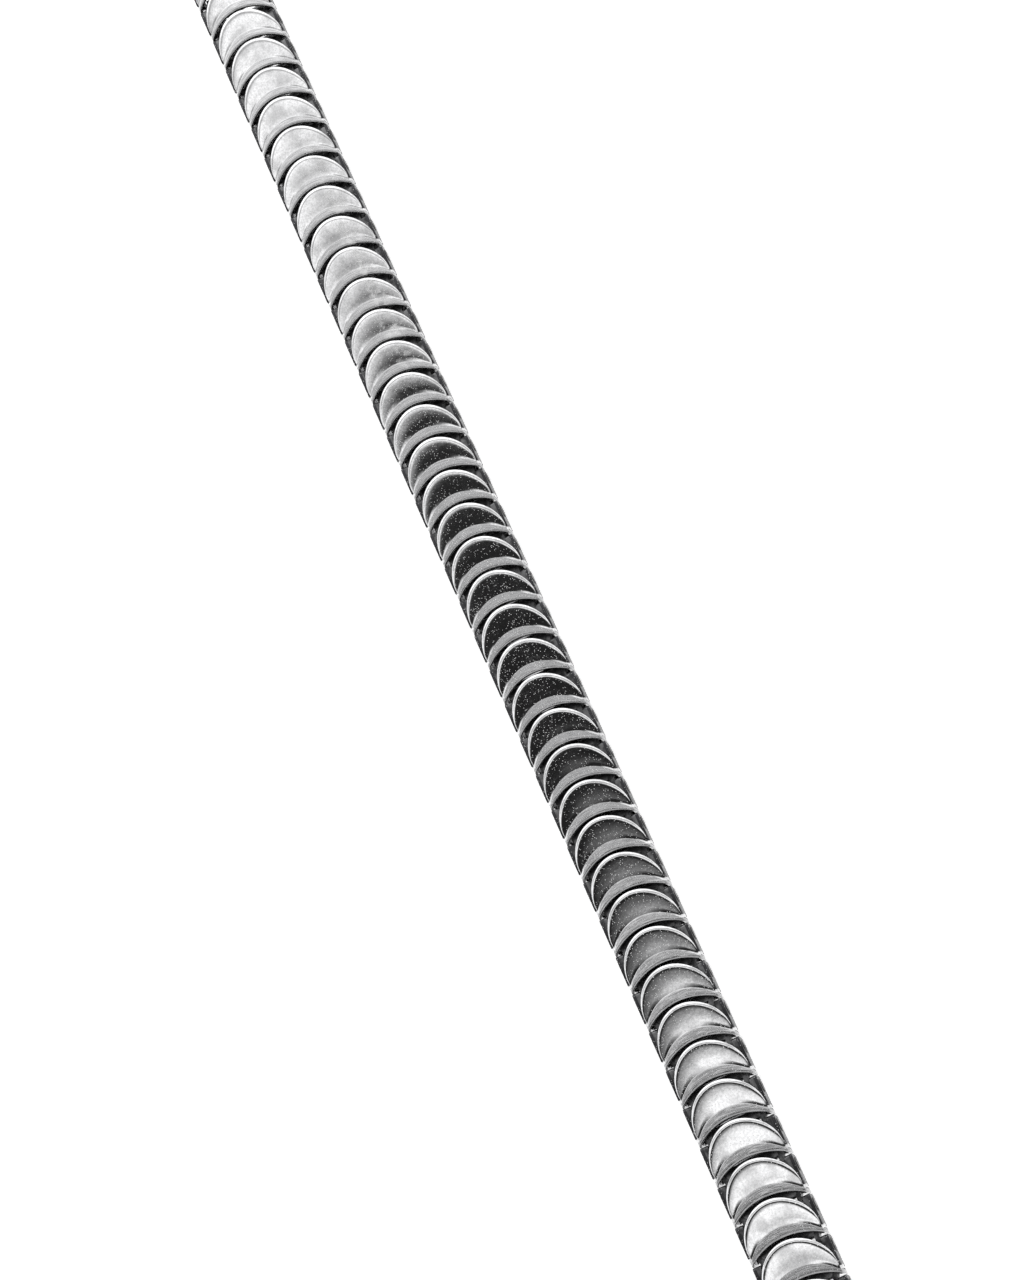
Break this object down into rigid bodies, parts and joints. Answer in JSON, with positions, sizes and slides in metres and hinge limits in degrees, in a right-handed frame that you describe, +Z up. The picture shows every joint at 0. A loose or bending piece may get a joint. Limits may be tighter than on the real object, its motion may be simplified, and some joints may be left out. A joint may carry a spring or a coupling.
{
  "type": "armoured drive chain",
  "caption": "Straight section of armoured chain: lapped oval steel shells with round front rims and stepped rear lips, hinged by riveted cross pins.",
  "frame": {"origin": "middle of the chain's box, at the bottom, where the lower shell rims rest on the surface", "axes": "+X along the chain towards the end whose shells have their round front rims leading, +Y along the hinge pins, +Z up"},
  "size_m": [0.5168, 0.025, 0.0164],
  "materials": {
    "shell_steel": "pressed stainless steel, polished, with fine dust and handling smears",
    "yoke_steel": "blanked and bent steel plate, tumbled, lightly oiled",
    "pin_steel": "turned and riveted steel, darkened by heat treatment"
  },
  "bodies": {
    "link_01": {"link_01_shell": "shell_steel", "link_01_yoke": "yoke_steel"},
    "link_02": {"link_02_pin": "pin_steel", "link_02_shell": "shell_steel", "link_02_yoke": "yoke_steel"},
    "link_03": {"link_03_pin": "pin_steel", "link_03_shell": "shell_steel", "link_03_yoke": "yoke_steel"},
    "link_04": {"link_04_pin": "pin_steel", "link_04_shell": "shell_steel", "link_04_yoke": "yoke_steel"},
    "link_05": {"link_05_pin": "pin_steel", "link_05_shell": "shell_steel", "link_05_yoke": "yoke_steel"},
    "link_06": {"link_06": "shell_steel"},
    "link_07": {"link_07": "shell_steel"},
    "link_08": {"link_08": "shell_steel"},
    "link_09": {"link_09": "shell_steel"},
    "link_10": {"link_10": "shell_steel"},
    "link_11": {"link_11": "shell_steel"},
    "link_12": {"link_12": "shell_steel"},
    "link_13": {"link_13": "shell_steel"},
    "link_14": {"link_14": "shell_steel"},
    "link_15": {"link_15": "shell_steel"},
    "link_16": {"link_16": "shell_steel"},
    "link_17": {"link_17": "shell_steel"},
    "link_18": {"link_18": "shell_steel"},
    "link_19": {"link_19": "shell_steel"},
    "link_20": {"link_20": "shell_steel"},
    "link_21": {"link_21": "shell_steel"},
    "link_22": {"link_22": "shell_steel"},
    "link_23": {"link_23": "shell_steel"},
    "link_24": {"link_24": "shell_steel"},
    "link_25": {"link_25": "shell_steel"},
    "link_26": {"link_26": "shell_steel"},
    "link_27": {"link_27": "shell_steel"},
    "link_28": {"link_28": "shell_steel"},
    "link_29": {"link_29": "shell_steel"},
    "link_30": {"link_30": "shell_steel"},
    "link_31": {"link_31": "shell_steel"},
    "link_32": {"link_32": "shell_steel"},
    "link_33": {"link_33": "shell_steel"},
    "link_34": {"link_34": "shell_steel"},
    "link_35": {"link_35": "shell_steel"},
    "link_36": {"link_36_pin": "pin_steel", "link_36_shell": "shell_steel", "link_36_yoke": "yoke_steel"},
    "link_37": {"link_37_pin": "pin_steel", "link_37_shell": "shell_steel", "link_37_yoke": "yoke_steel"},
    "link_38": {"link_38_pin": "pin_steel", "link_38_shell": "shell_steel", "link_38_yoke": "yoke_steel"},
    "link_39": {"link_39_pin": "pin_steel", "link_39_shell": "shell_steel", "link_39_yoke": "yoke_steel"},
    "link_40": {"link_40_pin": "pin_steel", "link_40_shell": "shell_steel", "link_40_yoke": "yoke_steel"}
  },
  "joints": [
    {"name": "hinge_20_21", "type": "hinge", "parent": "link_20", "child": "link_21", "pos_m": [-0.0014, 0, 0.00818], "axis": [0, 1, 0], "range_deg": [-6, 6]},
    {"name": "hinge_21_22", "type": "hinge", "parent": "link_21", "child": "link_22", "pos_m": [-0.0141, 0, 0.00818], "axis": [0, 1, 0], "range_deg": [-6, 6]},
    {"name": "hinge_22_23", "type": "hinge", "parent": "link_22", "child": "link_23", "pos_m": [-0.0268, 0, 0.00818], "axis": [0, 1, 0], "range_deg": [-6, 6]},
    {"name": "hinge_23_24", "type": "hinge", "parent": "link_23", "child": "link_24", "pos_m": [-0.0395, 0, 0.00818], "axis": [0, 1, 0], "range_deg": [-6, 6]},
    {"name": "hinge_24_25", "type": "hinge", "parent": "link_24", "child": "link_25", "pos_m": [-0.0522, 0, 0.00818], "axis": [0, 1, 0], "range_deg": [-6, 6]},
    {"name": "hinge_25_26", "type": "hinge", "parent": "link_25", "child": "link_26", "pos_m": [-0.0649, 0, 0.00818], "axis": [0, 1, 0], "range_deg": [-6, 6]},
    {"name": "hinge_26_27", "type": "hinge", "parent": "link_26", "child": "link_27", "pos_m": [-0.0776, 0, 0.00818], "axis": [0, 1, 0], "range_deg": [-6, 6]},
    {"name": "hinge_27_28", "type": "hinge", "parent": "link_27", "child": "link_28", "pos_m": [-0.0903, 0, 0.00818], "axis": [0, 1, 0], "range_deg": [-6, 6]},
    {"name": "hinge_28_29", "type": "hinge", "parent": "link_28", "child": "link_29", "pos_m": [-0.103, 0, 0.00818], "axis": [0, 1, 0], "range_deg": [-6, 6]},
    {"name": "hinge_29_30", "type": "hinge", "parent": "link_29", "child": "link_30", "pos_m": [-0.1157, 0, 0.00818], "axis": [0, 1, 0], "range_deg": [-6, 6]},
    {"name": "hinge_30_31", "type": "hinge", "parent": "link_30", "child": "link_31", "pos_m": [-0.1284, 0, 0.00818], "axis": [0, 1, 0], "range_deg": [-6, 6]},
    {"name": "hinge_31_32", "type": "hinge", "parent": "link_31", "child": "link_32", "pos_m": [-0.1411, 0, 0.00818], "axis": [0, 1, 0], "range_deg": [-6, 6]},
    {"name": "hinge_32_33", "type": "hinge", "parent": "link_32", "child": "link_33", "pos_m": [-0.1538, 0, 0.00818], "axis": [0, 1, 0], "range_deg": [-6, 6]},
    {"name": "hinge_33_34", "type": "hinge", "parent": "link_33", "child": "link_34", "pos_m": [-0.1665, 0, 0.00818], "axis": [0, 1, 0], "range_deg": [-6, 6]},
    {"name": "hinge_34_35", "type": "hinge", "parent": "link_34", "child": "link_35", "pos_m": [-0.1792, 0, 0.00818], "axis": [0, 1, 0], "range_deg": [-6, 6]},
    {"name": "hinge_35_36", "type": "hinge", "parent": "link_35", "child": "link_36", "pos_m": [-0.1919, 0, 0.00818], "axis": [0, 1, 0], "range_deg": [-6, 6]},
    {"name": "hinge_36_37", "type": "hinge", "parent": "link_36", "child": "link_37", "pos_m": [-0.2046, 0, 0.00818], "axis": [0, 1, 0], "range_deg": [-6, 6]},
    {"name": "hinge_37_38", "type": "hinge", "parent": "link_37", "child": "link_38", "pos_m": [-0.2173, 0, 0.00818], "axis": [0, 1, 0], "range_deg": [-6, 6]},
    {"name": "hinge_38_39", "type": "hinge", "parent": "link_38", "child": "link_39", "pos_m": [-0.23, 0, 0.00818], "axis": [0, 1, 0], "range_deg": [-6, 6]},
    {"name": "hinge_39_40", "type": "hinge", "parent": "link_39", "child": "link_40", "pos_m": [-0.2427, 0, 0.00818], "axis": [0, 1, 0], "range_deg": [-6, 6]},
    {"name": "hinge_19_20", "type": "hinge", "parent": "link_20", "child": "link_19", "pos_m": [0.0113, 0, 0.00818], "axis": [0, -1, 0], "range_deg": [-6, 6]},
    {"name": "hinge_18_19", "type": "hinge", "parent": "link_19", "child": "link_18", "pos_m": [0.024, 0, 0.00818], "axis": [0, -1, 0], "range_deg": [-6, 6]},
    {"name": "hinge_17_18", "type": "hinge", "parent": "link_18", "child": "link_17", "pos_m": [0.0367, 0, 0.00818], "axis": [0, -1, 0], "range_deg": [-6, 6]},
    {"name": "hinge_16_17", "type": "hinge", "parent": "link_17", "child": "link_16", "pos_m": [0.0494, 0, 0.00818], "axis": [0, -1, 0], "range_deg": [-6, 6]},
    {"name": "hinge_15_16", "type": "hinge", "parent": "link_16", "child": "link_15", "pos_m": [0.0621, 0, 0.00818], "axis": [0, -1, 0], "range_deg": [-6, 6]},
    {"name": "hinge_14_15", "type": "hinge", "parent": "link_15", "child": "link_14", "pos_m": [0.0748, 0, 0.00818], "axis": [0, -1, 0], "range_deg": [-6, 6]},
    {"name": "hinge_13_14", "type": "hinge", "parent": "link_14", "child": "link_13", "pos_m": [0.0875, 0, 0.00818], "axis": [0, -1, 0], "range_deg": [-6, 6]},
    {"name": "hinge_12_13", "type": "hinge", "parent": "link_13", "child": "link_12", "pos_m": [0.1002, 0, 0.00818], "axis": [0, -1, 0], "range_deg": [-6, 6]},
    {"name": "hinge_11_12", "type": "hinge", "parent": "link_12", "child": "link_11", "pos_m": [0.1129, 0, 0.00818], "axis": [0, -1, 0], "range_deg": [-6, 6]},
    {"name": "hinge_10_11", "type": "hinge", "parent": "link_11", "child": "link_10", "pos_m": [0.1256, 0, 0.00818], "axis": [0, -1, 0], "range_deg": [-6, 6]},
    {"name": "hinge_09_10", "type": "hinge", "parent": "link_10", "child": "link_09", "pos_m": [0.1383, 0, 0.00818], "axis": [0, -1, 0], "range_deg": [-6, 6]},
    {"name": "hinge_08_09", "type": "hinge", "parent": "link_09", "child": "link_08", "pos_m": [0.151, 0, 0.00818], "axis": [0, -1, 0], "range_deg": [-6, 6]},
    {"name": "hinge_07_08", "type": "hinge", "parent": "link_08", "child": "link_07", "pos_m": [0.1637, 0, 0.00818], "axis": [0, -1, 0], "range_deg": [-6, 6]},
    {"name": "hinge_06_07", "type": "hinge", "parent": "link_07", "child": "link_06", "pos_m": [0.1764, 0, 0.00818], "axis": [0, -1, 0], "range_deg": [-6, 6]},
    {"name": "hinge_05_06", "type": "hinge", "parent": "link_06", "child": "link_05", "pos_m": [0.1891, 0, 0.00818], "axis": [0, -1, 0], "range_deg": [-6, 6]},
    {"name": "hinge_04_05", "type": "hinge", "parent": "link_05", "child": "link_04", "pos_m": [0.2018, 0, 0.00818], "axis": [0, -1, 0], "range_deg": [-6, 6]},
    {"name": "hinge_03_04", "type": "hinge", "parent": "link_04", "child": "link_03", "pos_m": [0.2145, 0, 0.00818], "axis": [0, -1, 0], "range_deg": [-6, 6]},
    {"name": "hinge_02_03", "type": "hinge", "parent": "link_03", "child": "link_02", "pos_m": [0.2272, 0, 0.00818], "axis": [0, -1, 0], "range_deg": [-6, 6]},
    {"name": "hinge_01_02", "type": "hinge", "parent": "link_02", "child": "link_01", "pos_m": [0.2399, 0, 0.00818], "axis": [0, -1, 0], "range_deg": [-6, 6]}
  ]
}
